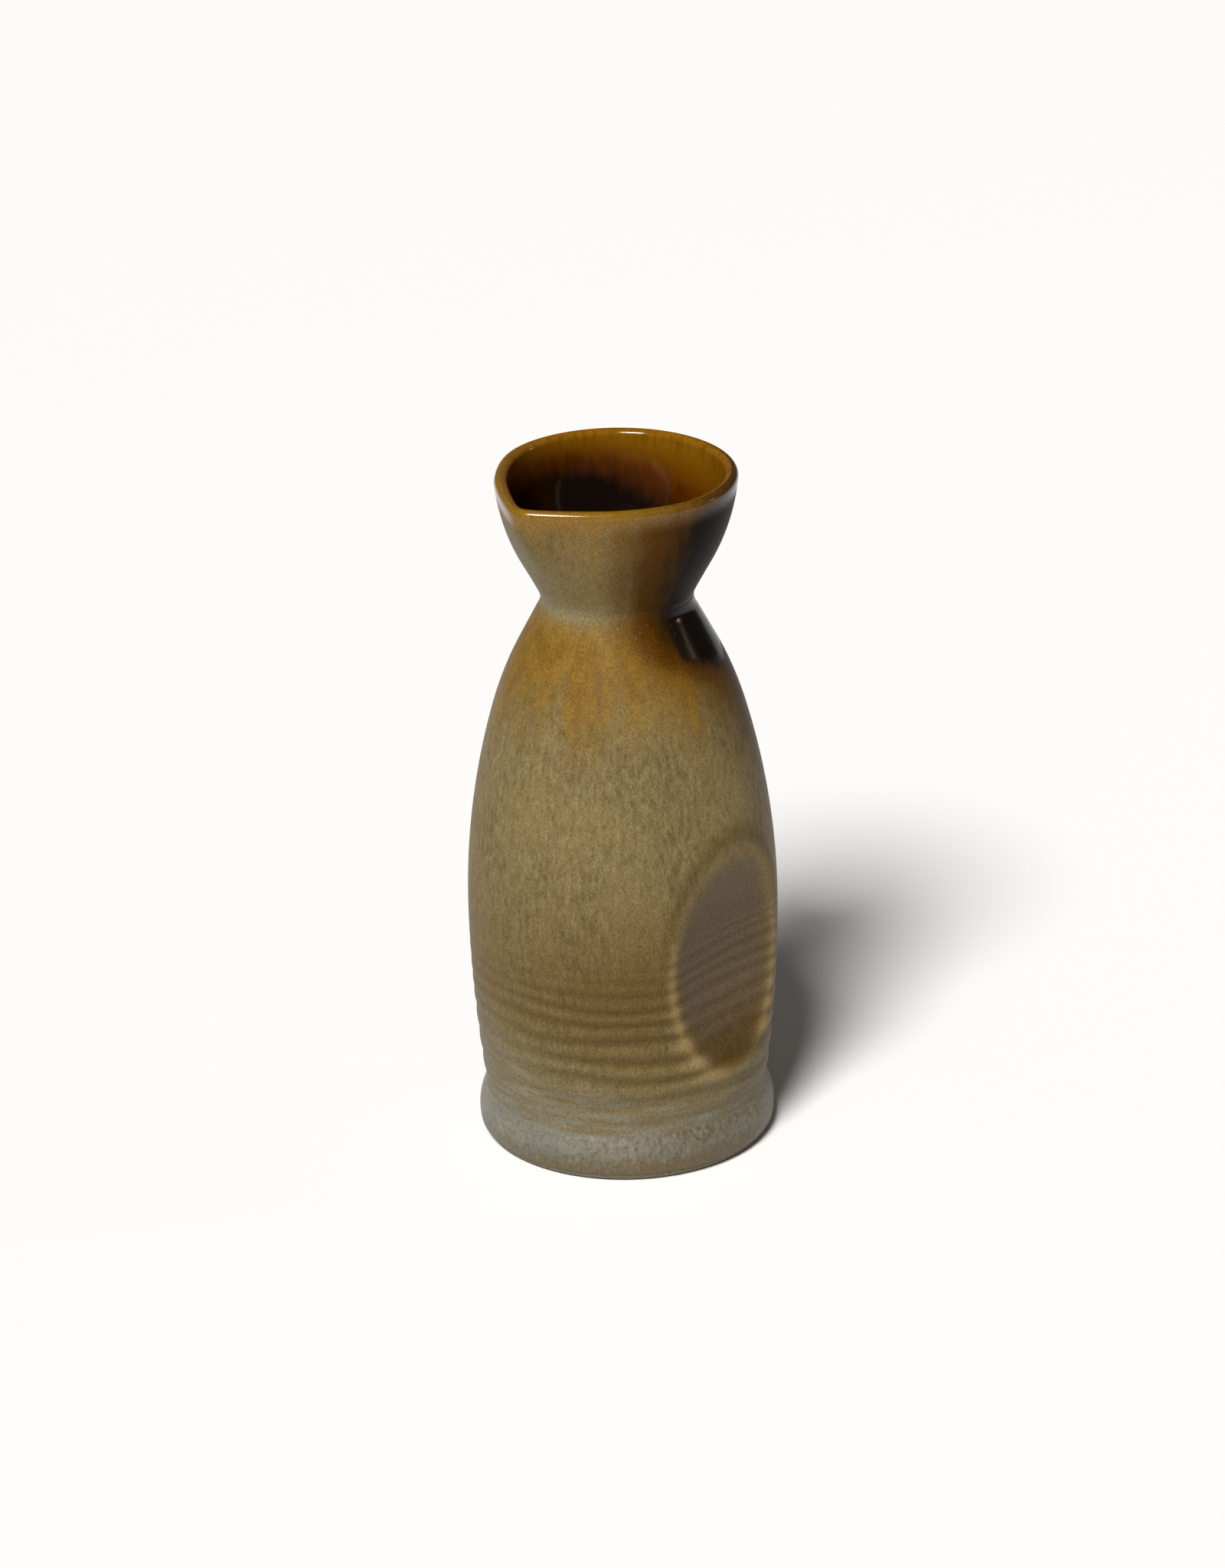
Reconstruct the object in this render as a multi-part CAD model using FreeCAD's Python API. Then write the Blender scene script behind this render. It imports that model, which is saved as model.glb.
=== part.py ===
"""Sake bottle (tokkuri) of glazed stoneware: one fired clay body under four fired coats of glaze.

The body is a foot roll, a bullet-shaped belly, a tight waist and a flared cup, with two grip
hollows pressed into its sides, a lip pinched into a pouring spout, and throwing rings low on the
wall. Each coat of glaze is a closed skin that lies face to face on the clay:
  clay_body    the fired stoneware, bare only where the bottle stands
  outer_glaze  amber glaze, from the groove over the foot up to the crest of the lip
  foot_glaze   pale ash glaze, from the rounded lower edge of the foot up to the same groove
  liner_glaze  the coat poured inside, from the crest of the lip down to the cavity's floor
  base_glaze   the disc of glaze in the hollow under the base

Frame: millimetres, +Z up, origin at the centre of the face that the bottle stands on.
-Y is the way it pours; the grip hollows face +X and -X.

Every wall is a spline surface through rings of points. A ring is the plan outline of the glazed
form at one height, drawn in by an inset, which is measured level: 0 is the outside of the glaze,
GLAZE is the outside of the clay, and so on inwards.
"""

import FreeCAD
import Part
import math
import os

# Overall size
HEIGHT = 161.0                     # of the highest point of the lip
BELLY_RADIUS = 35.6
BELLY_HEIGHT = 55.5                # where the belly is widest
FLANK_ARC = 330.0                  # radius of the side's curve below the widest place
BELLY_ARC = 175.0                  # radius of the side's curve above it
SHOULDER_HEIGHT = 104.0            # where the shoulder starts to turn in faster
SHOULDER_ARC = 84.0
NECK_SLOPE = math.radians(28)      # how far the neck leans in, from upright

# Waist and flared cup
RIM_RADIUS = 27.7
CUP_ARC = 52.0                     # radius of the cup's side curve
CUP_ARC_RISE = 3.5                 # its centre lies this far above the rim
CUP_SLOPE = math.radians(28)       # how far the bottom of the cup leans out
WAIST_BLEND = 2.6                  # neck and cup blend where they differ by less than this
THROAT_BLEND = 6.0                 # the same inside, where the waist is rounder

# Foot
FOOT_RADIUS = 34.4
FOOT_ROLL_HEIGHT = 4.6             # where the roll is widest
FOOT_ROLL_ARC = 12.5
GROOVE_BLEND = 0.5                 # blend in the groove between roll and belly
FOOT_EDGE = 2.0                    # rounding of the lower edge, bare of glaze
FOOT_RING_WIDTH = 5.0              # width of the face that it stands on
RECESS_DEPTH = 2.4                 # hollow under the base
RECESS_DRAFT = 0.8                 # how much narrower the hollow is at its ceiling
BASE_MARGIN = 1.0                  # bare ring between the base glaze and the hollow's wall

# Walls
GLAZE = 0.4                        # each fired coat
WALL = 3.4                         # clay in the belly
LIP_WALL = 2.2                     # clay at the lip
FLOOR = 4.6                        # clay between the hollow under the base and the cavity
FLOOR_CORNER = 13.0                # rounding inside, between floor and wall

# Grip hollows
GRIP_HEIGHT = 49.0                 # height of their centre
GRIP_LENGTH = 56.0                 # along the bottle
GRIP_WIDTH = 36.0                  # across, as a chord
GRIP_DEPTH = 6.0
GRIP_EDGE = 1.6                    # blend that rounds the edge of a hollow
GRIP_SIDE = math.radians(75)       # a hollow stays within this angle of the side it faces

# Pouring spout
SPOUT_REACH = 4.8                  # how far the tip stands out past the round rim
SPOUT_CORNER = math.radians(4.5)   # rounding of the tip, in plan
SPOUT_LENGTH = 22.0                # how far down the cup the beak runs
PINCH_DEPTH = 1.0                  # how far the cup is drawn in on each side of the spout
PINCH_ANGLE = math.radians(54)     # the deepest place, from the spout's tip
PINCH_SPREAD = math.radians(22)
PINCH_LENGTH = 34.0                # how far down the cup the pinch runs
PINCH_FADE = 12.0                  # height over which it fades out at its lower end

# The hand-shaped lip leans a little
RIM_LEAN = 1.7                     # from its highest point down to its lowest
LOW_SIDE = math.radians(-45)       # plan angle of the lowest point

# Throwing rings
RING_DEPTH = 0.36
RING_START = 19.8                  # height of the valley that the rings are counted from
RING_PITCH = 5.8                   # from that valley up to the next
RING_SHRINK = 0.91                 # each pitch is this share of the one below
RING_COUNT = 9
RING_FADE = 3.0                    # height over which they fade out at the groove

# Fineness of the lofts
PLAN_POINTS = 112
RING_STEP = 0.85                   # between sections across the throwing rings
WAIST_STEP = 1.2
WAIST_ZONE = 6.0                   # how far above and below the waist that step is used
SIDE_STEP = 4.0
ARC_STEPS = 6                      # in a rounded edge
STEEPEST = math.radians(80)        # a side arc runs on straight past this slope

AXIS = FreeCAD.Vector(0, 0, 1)
ORIGIN = FreeCAD.Vector(0, 0, 0)


def smooth_max(a, b, blend):
    """The larger of a and b, rounded where they differ by less than blend."""
    overlap = max(blend - abs(a - b), 0.0)
    return max(a, b) + overlap * overlap / (4 * blend)


def smooth_min(a, b, blend):
    return -smooth_max(-a, -b, blend)


def smooth_step(share):
    share = min(max(share, 0.0), 1.0)
    return share * share * (3 - 2 * share)


def arc_drop(offset, radius, slope=STEEPEST):
    """How far an arc has fallen at this offset from its crown; past the slope it runs straight."""
    offset = abs(offset)
    turn = radius * math.sin(slope)
    if offset < turn:
        return radius - math.sqrt(radius * radius - offset * offset)
    return radius * (1 - math.cos(slope)) + (offset - turn) * math.tan(slope)


def foot_radius(z):
    return FOOT_RADIUS - arc_drop(z - FOOT_ROLL_HEIGHT, FOOT_ROLL_ARC)


def belly_radius(z):
    """Flank arc, belly arc, the tighter shoulder arc, then the straight neck, all tangent."""
    if z < BELLY_HEIGHT:
        return BELLY_RADIUS - arc_drop(z - BELLY_HEIGHT, FLANK_ARC)
    if z < SHOULDER_HEIGHT:
        return BELLY_RADIUS - arc_drop(z - BELLY_HEIGHT, BELLY_ARC)
    turned = math.asin((SHOULDER_HEIGHT - BELLY_HEIGHT) / BELLY_ARC)
    before = SHOULDER_ARC * math.sin(turned)
    shoulder = arc_drop(before + z - SHOULDER_HEIGHT, SHOULDER_ARC, NECK_SLOPE)
    start = BELLY_RADIUS - arc_drop(SHOULDER_HEIGHT - BELLY_HEIGHT, BELLY_ARC)
    return start + arc_drop(before, SHOULDER_ARC, NECK_SLOPE) - shoulder


def cup_radius(z):
    centre = HEIGHT + CUP_ARC_RISE
    crown = RIM_RADIUS + arc_drop(CUP_ARC_RISE, CUP_ARC)
    return crown - arc_drop(z - centre, CUP_ARC, CUP_SLOPE)


def side_radius(z, waist_blend=WAIST_BLEND):
    """Radius of the round form at height z: foot roll, belly and cup run into one another."""
    lower = smooth_max(foot_radius(z), belly_radius(z), GROOVE_BLEND)
    return smooth_max(lower, cup_radius(z), waist_blend)


def crossing(falling, rising, low, high):
    """The height between low and high at which two radii are equal, by halving."""
    for _ in range(50):
        middle = (low + high) / 2
        if falling(middle) > rising(middle):
            low = middle
        else:
            high = middle
    return (low + high) / 2


GROOVE_HEIGHT = crossing(foot_radius, belly_radius, FOOT_ROLL_HEIGHT, BELLY_HEIGHT)
WAIST_HEIGHT = crossing(belly_radius, cup_radius, BELLY_HEIGHT, HEIGHT)
LIP_HALF = LIP_WALL / 2 + GLAZE    # half the thickness of the glazed lip
LIP_SPRING = HEIGHT - LIP_HALF     # where the lip starts to round over
CAVITY_FLOOR = RECESS_DEPTH + FLOOR
RECESS_RADIUS = foot_radius(FOOT_EDGE) - GLAZE - FOOT_EDGE - FOOT_RING_WIDTH


def grip_radius(angle, z):
    """Distance from the axis to the face of a grip hollow, a shallow dish that faces +X or -X.

    The face is x = bottom + rise across + rise along, both rises being parabolas that meet the
    belly at the hollow's edges. Put x = r cos(angle), y = r sin(angle) and solve for r.
    """
    across = abs(math.cos(angle))
    if across < math.cos(GRIP_SIDE):
        return math.inf
    middle = side_radius(GRIP_HEIGHT)
    bottom = middle - GRIP_DEPTH
    edge = GRIP_WIDTH / 2
    end = GRIP_LENGTH / 2
    edge_face = math.sqrt(middle * middle - edge * edge)
    end_face = (side_radius(GRIP_HEIGHT - end) + side_radius(GRIP_HEIGHT + end)) / 2
    face = bottom + (end_face - bottom) * ((z - GRIP_HEIGHT) / end) ** 2
    bend = (edge_face - bottom) / (edge * edge)
    root = across * across - 4 * bend * (1 - across * across) * face
    if root < 0:
        return math.inf
    return 2 * face / (across + math.sqrt(root))


def angle_from_spout(angle):
    return abs((angle + math.pi / 2 + math.pi) % (2 * math.pi) - math.pi)


def spout_bulge(angle, z):
    """How the pinched spout changes the radius.

    At the crest of the lip two straight sides touch the round rim and run to a tip: a straight
    side's radius is rim / cos(angle from where it touches). The bulge fades out down the cup.
    """
    away = angle_from_spout(angle)
    rim = RIM_RADIUS - LIP_HALF
    touch = math.acos(rim / (rim + SPOUT_REACH))
    turned = touch + SPOUT_CORNER - math.sqrt(away * away + SPOUT_CORNER ** 2)
    beak = rim / math.cos(max(0.0, turned)) - rim
    beak_start = HEIGHT - SPOUT_LENGTH
    beak *= smooth_step((z - beak_start) / (LIP_SPRING - beak_start))
    pinch = PINCH_DEPTH * math.exp(-(((away - PINCH_ANGLE) / PINCH_SPREAD) ** 2))
    pinch *= smooth_step((z - HEIGHT + PINCH_LENGTH) / PINCH_FADE)
    return beak - pinch


def lip_drop(angle, z):
    """How far the leaning lip lies below the level of its highest point; none at the waist."""
    share = (1 + math.cos(angle - LOW_SIDE)) / 2
    return RIM_LEAN * share * smooth_step((z - WAIST_HEIGHT) / (LIP_SPRING - WAIST_HEIGHT))


def ring_valley(number):
    """Height of a throwing ring's valley; valley 0 is at RING_START and each pitch shrinks."""
    return RING_START + RING_PITCH * (1 - RING_SHRINK ** number) / (1 - RING_SHRINK)


def ring_relief(z):
    """How deep the throwing rings are cut at height z; they fade out upwards and at the groove."""
    if z > ring_valley(RING_COUNT):
        return 0.0
    left = 1 - (z - RING_START) * (1 - RING_SHRINK) / RING_PITCH
    number = math.log(left) / math.log(RING_SHRINK)
    fade = (1 - smooth_step(number / RING_COUNT)) * smooth_step((z - GROOVE_HEIGHT) / RING_FADE)
    return RING_DEPTH * fade * (1 + math.cos(2 * math.pi * number)) / 2


def form_radius(angle, z, waist_blend):
    round_form = side_radius(z, waist_blend)
    return smooth_min(round_form, grip_radius(angle, z), GRIP_EDGE) + spout_bulge(angle, z)


def outside(angle, z):
    return form_radius(angle, z, WAIST_BLEND) - ring_relief(z)


def inside(angle, z):
    """The clay's inner face, smoother than the outside: no throwing rings and a rounder waist."""
    lip = smooth_step((z - WAIST_HEIGHT) / (LIP_SPRING - WAIST_HEIGHT))
    return form_radius(angle, z, THROAT_BLEND) - GLAZE - WALL - (LIP_WALL - WALL) * lip


def ring(radius_at, z, inset, rise=0.0):
    """Points round the outline radius_at at height z, drawn in by inset and lifted by rise."""
    points = []
    for i in range(PLAN_POINTS):
        angle = math.pi / 2 + 2 * math.pi * i / PLAN_POINTS
        radius = radius_at(angle, z) - inset
        height = z + rise - lip_drop(angle, z)
        points.append(FreeCAD.Vector(radius * math.cos(angle), radius * math.sin(angle), height))
    return points


def rounded(radius_at, z, centre_inset, arc, first, last):
    """Rings round an arc about the point at height z and centre_inset.

    An angle of 0 points outwards, 90 degrees points up and 180 points in.
    """
    rings = []
    for i in range(ARC_STEPS + 1):
        turn = math.radians(first + (last - first) * i / ARC_STEPS)
        rings.append(ring(radius_at, z, centre_inset - arc * math.cos(turn), arc * math.sin(turn)))
    return rings


def spread(low, high, step):
    """Even heights above low, up to and including high, about step apart."""
    count = max(1, round((high - low) / step))
    return [low + (high - low) * (i + 1) / count for i in range(count)]


def spline(points, steps, closed):
    curve = Part.BSplineCurve()
    curve.interpolate(Points=points, PeriodicFlag=closed, Parameters=steps)
    return curve


def loft(rings):
    """Face through all the rings: a closed spline round each, then one along each row of poles."""
    turns = [float(i) for i in range(PLAN_POINTS + 1)]
    around = [spline(points, turns, True) for points in rings]
    pole_rings = [curve.getPoles() for curve in around]
    climbs = [0.0]
    for lower, upper in zip(rings, rings[1:]):
        gap = sum(a.distanceToPoint(b) for a, b in zip(lower, upper)) / PLAN_POINTS
        climbs.append(climbs[-1] + gap)
    along = [spline(list(column), climbs, False) for column in zip(*pole_rings)]
    surface = Part.BSplineSurface()
    surface.buildFromPolesMultsKnots(
        [curve.getPoles() for curve in along],
        around[0].getMultiplicities(),
        along[0].getMultiplicities(),
        around[0].getKnots(),
        along[0].getKnots(),
        True,
        False,
        around[0].Degree,
        along[0].Degree,
    )
    return surface.toShape()


def rim_of(face, top):
    """The closed edge at the top or the bottom of a lofted face."""
    closed = [edge for edge in face.Edges if edge.isClosed()]
    return (max if top else min)(closed, key=lambda edge: edge.BoundBox.Center.z)


def flat_ring(outer, inner):
    """Flat face between two closed edges at one height."""
    return Part.Face([Part.Wire([outer]), Part.Wire([inner])], "Part::FaceMakerBullseye")


def flat_disc(edge):
    return Part.Face(Part.Wire([edge]))


def solid_inside(faces):
    """One solid closed by these faces."""
    skin = Part.Compound(faces)
    skin.sewShape()
    solid = Part.Solid(skin.Shells[0])
    if solid.Volume < 0:
        solid.reverse()
    return solid


def upper_wall(inset, arc):
    """From the groove up to the crest of the lip, which is rounded with an arc of this radius."""
    waist_low = WAIST_HEIGHT - WAIST_ZONE
    waist_high = WAIST_HEIGHT + WAIST_ZONE
    rings_top = min(ring_valley(RING_COUNT), waist_low)
    heights = [GROOVE_HEIGHT] + spread(GROOVE_HEIGHT, rings_top, RING_STEP)
    heights += spread(rings_top, waist_low, SIDE_STEP)
    heights += spread(waist_low, waist_high, WAIST_STEP)
    heights += spread(waist_high, LIP_SPRING, SIDE_STEP)
    wall = [ring(outside, z, inset) for z in heights[:-1]]
    return loft(wall + rounded(outside, LIP_SPRING, LIP_HALF, arc, 0, 90))


def inner_wall(inset, arc):
    """The same inside: from the cavity's floor, round its corner and up to the lip's crest."""
    low = CAVITY_FLOOR + FLOOR_CORNER
    corner = rounded(inside, low, FLOOR_CORNER, FLOOR_CORNER - inset, -90, 0)
    waist_low = WAIST_HEIGHT - WAIST_ZONE
    waist_high = WAIST_HEIGHT + WAIST_ZONE
    heights = spread(low, waist_low, SIDE_STEP)
    heights += spread(waist_low, waist_high, WAIST_STEP)
    heights += spread(waist_high, LIP_SPRING, SIDE_STEP)
    wall = [ring(inside, z, inset) for z in heights[:-1]]
    lip = rounded(outside, LIP_SPRING, LIP_HALF, arc, 180, 90)
    return loft(corner + wall + lip)


def foot_wall(inset):
    heights = [FOOT_EDGE] + spread(FOOT_EDGE, GROOVE_HEIGHT, RING_STEP)
    return loft([ring(outside, z, inset) for z in heights])


# The faces that clay and glaze share, and the glaze's own outer faces
clay_outside = upper_wall(GLAZE, LIP_WALL / 2)
glaze_outside = upper_wall(0.0, LIP_HALF)
clay_foot = foot_wall(GLAZE)
glaze_foot = foot_wall(0.0)
clay_inside = inner_wall(0.0, LIP_WALL / 2)
glaze_inside = inner_wall(GLAZE, LIP_HALF)
crest_seam = Part.makeRuledSurface(rim_of(clay_outside, True), rim_of(glaze_outside, True))
groove_seam = flat_ring(rim_of(glaze_outside, False), rim_of(clay_outside, False))

# The underside: rounded lower edge, the flat face that it stands on, and the hollow
foot_edge = loft(rounded(outside, FOOT_EDGE, GLAZE + FOOT_EDGE, FOOT_EDGE, -90, 0))
ceiling_radius = RECESS_RADIUS - RECESS_DRAFT
recess = Part.makeCone(RECESS_RADIUS, ceiling_radius, RECESS_DEPTH)
recess_wall = [face for face in recess.Faces if not isinstance(face.Surface, Part.Plane)]
recess_edge = Part.makeCircle(RECESS_RADIUS, ORIGIN, AXIS)
ceiling_edge = Part.makeCircle(ceiling_radius, AXIS * RECESS_DEPTH, AXIS)
standing_face = flat_ring(rim_of(foot_edge, False), recess_edge)

clay_body = solid_inside(
    [clay_outside, clay_foot, clay_inside, foot_edge, standing_face, flat_disc(ceiling_edge)]
    + recess_wall
    + [flat_disc(rim_of(clay_inside, False))]
)
outer_glaze = solid_inside([glaze_outside, clay_outside, crest_seam, groove_seam])
foot_glaze = solid_inside(
    [glaze_foot, clay_foot, groove_seam, flat_ring(rim_of(glaze_foot, False), rim_of(clay_foot, False))]
)
liner_glaze = solid_inside(
    [
        glaze_inside,
        clay_inside,
        crest_seam,
        flat_disc(rim_of(glaze_inside, False)),
        flat_disc(rim_of(clay_inside, False)),
    ]
)
base_glaze = Part.makeCylinder(ceiling_radius - BASE_MARGIN, GLAZE, AXIS * (RECESS_DEPTH - GLAZE))

nodes = {
    "clay_body": clay_body,
    "outer_glaze": outer_glaze,
    "foot_glaze": foot_glaze,
    "liner_glaze": liner_glaze,
    "base_glaze": base_glaze,
}
os.makedirs("parts", exist_ok=True)
for name, solid in nodes.items():
    solid.exportStep(f"parts/{name}.step")
    box = solid.BoundBox
    print(
        f"{name}: {solid.Volume / 1000:.1f} ml, valid {solid.isValid()}, "
        f"x {box.XMin:.2f} to {box.XMax:.2f}, y {box.YMin:.2f} to {box.YMax:.2f}, "
        f"z {box.ZMin:.2f} to {box.ZMax:.2f}"
    )
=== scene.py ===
# %% [markdown]
# # A sake bottle in glazed stoneware
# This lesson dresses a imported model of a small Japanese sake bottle. The real bottle is one piece
# of fired clay under a few coats of glaze, so nearly all of its character is in the glaze: khaki
# with fine vertical mottles, amber where it runs thick on the shoulder and thins over the lip,
# almost black in one pool, and a milky blue-grey ash glaze over the foot.
#
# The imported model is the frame. It is loaded first and never moved, and every new piece is
# placed in the same coordinates: metres, Z up, the spout towards -Y.

# %% Load the frame
import math

import bpy
import numpy as np
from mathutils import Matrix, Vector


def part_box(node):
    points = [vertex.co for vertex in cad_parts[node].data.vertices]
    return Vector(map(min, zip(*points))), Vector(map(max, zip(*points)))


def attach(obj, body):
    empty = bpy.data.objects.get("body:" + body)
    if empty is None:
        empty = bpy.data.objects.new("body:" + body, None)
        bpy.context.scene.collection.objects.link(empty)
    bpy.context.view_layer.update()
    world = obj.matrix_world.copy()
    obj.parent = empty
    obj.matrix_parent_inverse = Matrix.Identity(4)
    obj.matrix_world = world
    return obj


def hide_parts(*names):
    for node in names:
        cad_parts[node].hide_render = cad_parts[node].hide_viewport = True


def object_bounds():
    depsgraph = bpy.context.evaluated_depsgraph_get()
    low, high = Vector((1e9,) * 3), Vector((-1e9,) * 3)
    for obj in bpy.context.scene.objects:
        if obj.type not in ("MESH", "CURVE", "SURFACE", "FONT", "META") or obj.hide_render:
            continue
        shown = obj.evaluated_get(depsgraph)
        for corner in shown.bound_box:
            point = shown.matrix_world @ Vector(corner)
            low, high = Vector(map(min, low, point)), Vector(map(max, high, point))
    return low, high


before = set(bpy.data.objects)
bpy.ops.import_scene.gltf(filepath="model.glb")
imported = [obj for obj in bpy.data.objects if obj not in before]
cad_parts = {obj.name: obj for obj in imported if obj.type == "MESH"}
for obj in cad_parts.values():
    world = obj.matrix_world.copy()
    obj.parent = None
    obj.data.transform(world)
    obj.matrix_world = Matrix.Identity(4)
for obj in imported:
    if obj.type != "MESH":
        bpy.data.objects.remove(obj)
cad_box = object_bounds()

MM = 0.001
print("nodes:", sorted(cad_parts))
print("box in mm:", [[round(value / MM, 1) for value in corner] for corner in cad_box])

# %% [markdown]
# ## The form
# A thrown bottle could be made with a subdivision surface or by spinning a curve. But it also has
# things that spin badly: pressed hollows, a pinched spout and a leaning lip. So the form is one
# formula here, the plan radius at every angle and height, and each coat of glaze is that radius
# drawn in by an inset. Heights come from the frame, the rest are the potter's own sizes in
# millimetres.

# %% Sizes
HEIGHT = cad_box[1].z / MM
GROOVE_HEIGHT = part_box("foot_glaze")[1].z / MM
FOOT_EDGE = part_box("foot_glaze")[0].z / MM
CAVITY_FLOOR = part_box("liner_glaze")[0].z / MM
BASE_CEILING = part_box("base_glaze")[1].z / MM
BASE_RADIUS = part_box("base_glaze")[1].x / MM
GLAZE = (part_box("base_glaze")[1].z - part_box("base_glaze")[0].z) / MM

BELLY_RADIUS = 35.6
BELLY_HEIGHT = 55.5
FLANK_ARC = 330.0                   # the side's curve below the widest place
BELLY_ARC = 175.0                   # and above it
SHOULDER_HEIGHT = 104.0
SHOULDER_ARC = 84.0
NECK_SLOPE = math.radians(28)
RIM_RADIUS = 27.7
CUP_ARC = 52.0
CUP_ARC_RISE = 3.5
CUP_SLOPE = math.radians(28)
WAIST_BLEND = 2.6
THROAT_BLEND = 6.0
FOOT_RADIUS = 34.4
FOOT_ROLL_HEIGHT = 4.6
FOOT_ROLL_ARC = 12.5
GROOVE_BLEND = 0.5
WALL = 3.4
LIP_WALL = 2.2
FLOOR_CORNER = 13.0
LIP_HALF = LIP_WALL / 2 + GLAZE
LIP_SPRING = HEIGHT - LIP_HALF      # where the lip starts to round over
print(f"height {HEIGHT:.1f} mm, groove {GROOVE_HEIGHT:.1f} mm, glaze {GLAZE:.2f} mm")

# %% The round form: foot roll, flank, belly, shoulder, neck and cup
def smooth_step(share):
    """Eases from 0 to 1 as share goes from 0 to 1."""
    share = np.clip(share, 0.0, 1.0)
    return share * share * (3 - 2 * share)


def smooth_max(a, b, blend):
    """The larger value, plus a rounding where the two differ by less than blend."""
    overlap = np.maximum(blend - np.abs(a - b), 0.0)
    return np.maximum(a, b) + overlap ** 2 / (4 * blend)


def arc_drop(offset, radius, slope=math.radians(80)):
    """Fall of an arc at an offset from its crown: radius - sqrt(radius^2 - offset^2). Past the
    slope it runs on straight."""
    offset = np.abs(offset)
    turn = radius * math.sin(slope)
    curved = radius - np.sqrt(radius ** 2 - np.minimum(offset, turn) ** 2)
    return curved + np.maximum(offset - turn, 0.0) * math.tan(slope)


def foot_radius(z):
    return FOOT_RADIUS - arc_drop(z - FOOT_ROLL_HEIGHT, FOOT_ROLL_ARC)


def belly_radius(z):
    """Flank arc below the widest place, belly arc above it, then a tighter shoulder arc that
    starts with the same tangent and ends in a straight neck."""
    flank = BELLY_RADIUS - arc_drop(z - BELLY_HEIGHT, FLANK_ARC)
    belly = BELLY_RADIUS - arc_drop(z - BELLY_HEIGHT, BELLY_ARC)
    before = SHOULDER_ARC * (SHOULDER_HEIGHT - BELLY_HEIGHT) / BELLY_ARC
    past = before + np.maximum(z - SHOULDER_HEIGHT, 0.0)
    start = BELLY_RADIUS - arc_drop(SHOULDER_HEIGHT - BELLY_HEIGHT, BELLY_ARC)
    shoulder = start + arc_drop(before, SHOULDER_ARC) - arc_drop(past, SHOULDER_ARC, NECK_SLOPE)
    return np.where(z < BELLY_HEIGHT, flank, np.where(z < SHOULDER_HEIGHT, belly, shoulder))


def cup_radius(z):
    crown = RIM_RADIUS + arc_drop(CUP_ARC_RISE, CUP_ARC)
    return crown - arc_drop(z - HEIGHT - CUP_ARC_RISE, CUP_ARC, CUP_SLOPE)


def side_radius(z, waist_blend=WAIST_BLEND):
    lower = smooth_max(foot_radius(z), belly_radius(z), GROOVE_BLEND)
    return smooth_max(lower, cup_radius(z), waist_blend)


levels = np.linspace(BELLY_HEIGHT, LIP_SPRING, 2000)
WAIST_HEIGHT = levels[np.argmin(side_radius(levels))]
print(f"the waist is at {WAIST_HEIGHT:.1f} mm, radius {side_radius(WAIST_HEIGHT):.1f} mm")

# %% [markdown]
# ## Hollows, spout and throwing rings
# The potter pressed a thumb hollow into each side, pinched the lip into a spout and left the
# throwing rings in the lower wall. A boolean could cut the hollows, but its edge would be sharp,
# and wet clay gives a soft one. So the hollow is a shallow dish, and the smooth minimum of the
# dish and the round form rounds the edge between them.

# %% Hand-made changes to the round form
GRIP_HEIGHT = 49.0
GRIP_LENGTH = 56.0
GRIP_WIDTH = 36.0
GRIP_DEPTH = 6.0
GRIP_EDGE = 1.6
GRIP_SIDE = math.radians(75)
SPOUT_REACH = 4.8
SPOUT_CORNER = math.radians(4.5)
SPOUT_LENGTH = 22.0
PINCH_DEPTH = 1.0
PINCH_ANGLE = math.radians(54)
PINCH_SPREAD = math.radians(22)
PINCH_LENGTH = 34.0
PINCH_FADE = 12.0
RIM_LEAN = 1.7
LOW_SIDE = math.radians(-45)
RING_DEPTH = 0.36
RING_START = 19.8
RING_PITCH = 5.8
RING_SHRINK = 0.91
RING_COUNT = 9
RING_FADE = 3.0
FAR = 1e3                           # a radius that no wall reaches


def grip_radius(angle, z):
    """The dish x = bottom + rise across + rise along, as a radius. With x = r cos(angle) and
    y = r sin(angle) that is a quadratic in r, and this is its smaller root."""
    across = np.abs(np.cos(angle))
    middle = side_radius(GRIP_HEIGHT)
    bottom = middle - GRIP_DEPTH
    edge = GRIP_WIDTH / 2
    end = GRIP_LENGTH / 2
    edge_face = math.sqrt(middle ** 2 - edge ** 2)
    end_face = (side_radius(GRIP_HEIGHT - end) + side_radius(GRIP_HEIGHT + end)) / 2
    face = bottom + (end_face - bottom) * ((z - GRIP_HEIGHT) / end) ** 2
    bend = (edge_face - bottom) / edge ** 2
    root = across ** 2 - 4 * bend * (1 - across ** 2) * face
    inside = (across >= math.cos(GRIP_SIDE)) & (root >= 0)
    return np.where(inside, 2 * face / (across + np.sqrt(np.maximum(root, 0.0))), FAR)


def spout_bulge(angle, z):
    """Two straight sides that touch the round rim and meet in a tip: rim / cos(angle turned).
    A bell-shaped pinch beside them draws the cup in. away is the angle from the tip, at -Y."""
    away = np.abs((angle + 1.5 * math.pi) % (2 * math.pi) - math.pi)
    rim = RIM_RADIUS - LIP_HALF
    touch = math.acos(rim / (rim + SPOUT_REACH))
    turned = touch + SPOUT_CORNER - np.sqrt(away ** 2 + SPOUT_CORNER ** 2)
    beak_start = HEIGHT - SPOUT_LENGTH
    beak = rim / np.cos(np.maximum(turned, 0.0)) - rim
    beak = beak * smooth_step((z - beak_start) / (LIP_SPRING - beak_start))
    pinch = PINCH_DEPTH * np.exp(-(((away - PINCH_ANGLE) / PINCH_SPREAD) ** 2))
    return beak - pinch * smooth_step((z - HEIGHT + PINCH_LENGTH) / PINCH_FADE)


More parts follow.
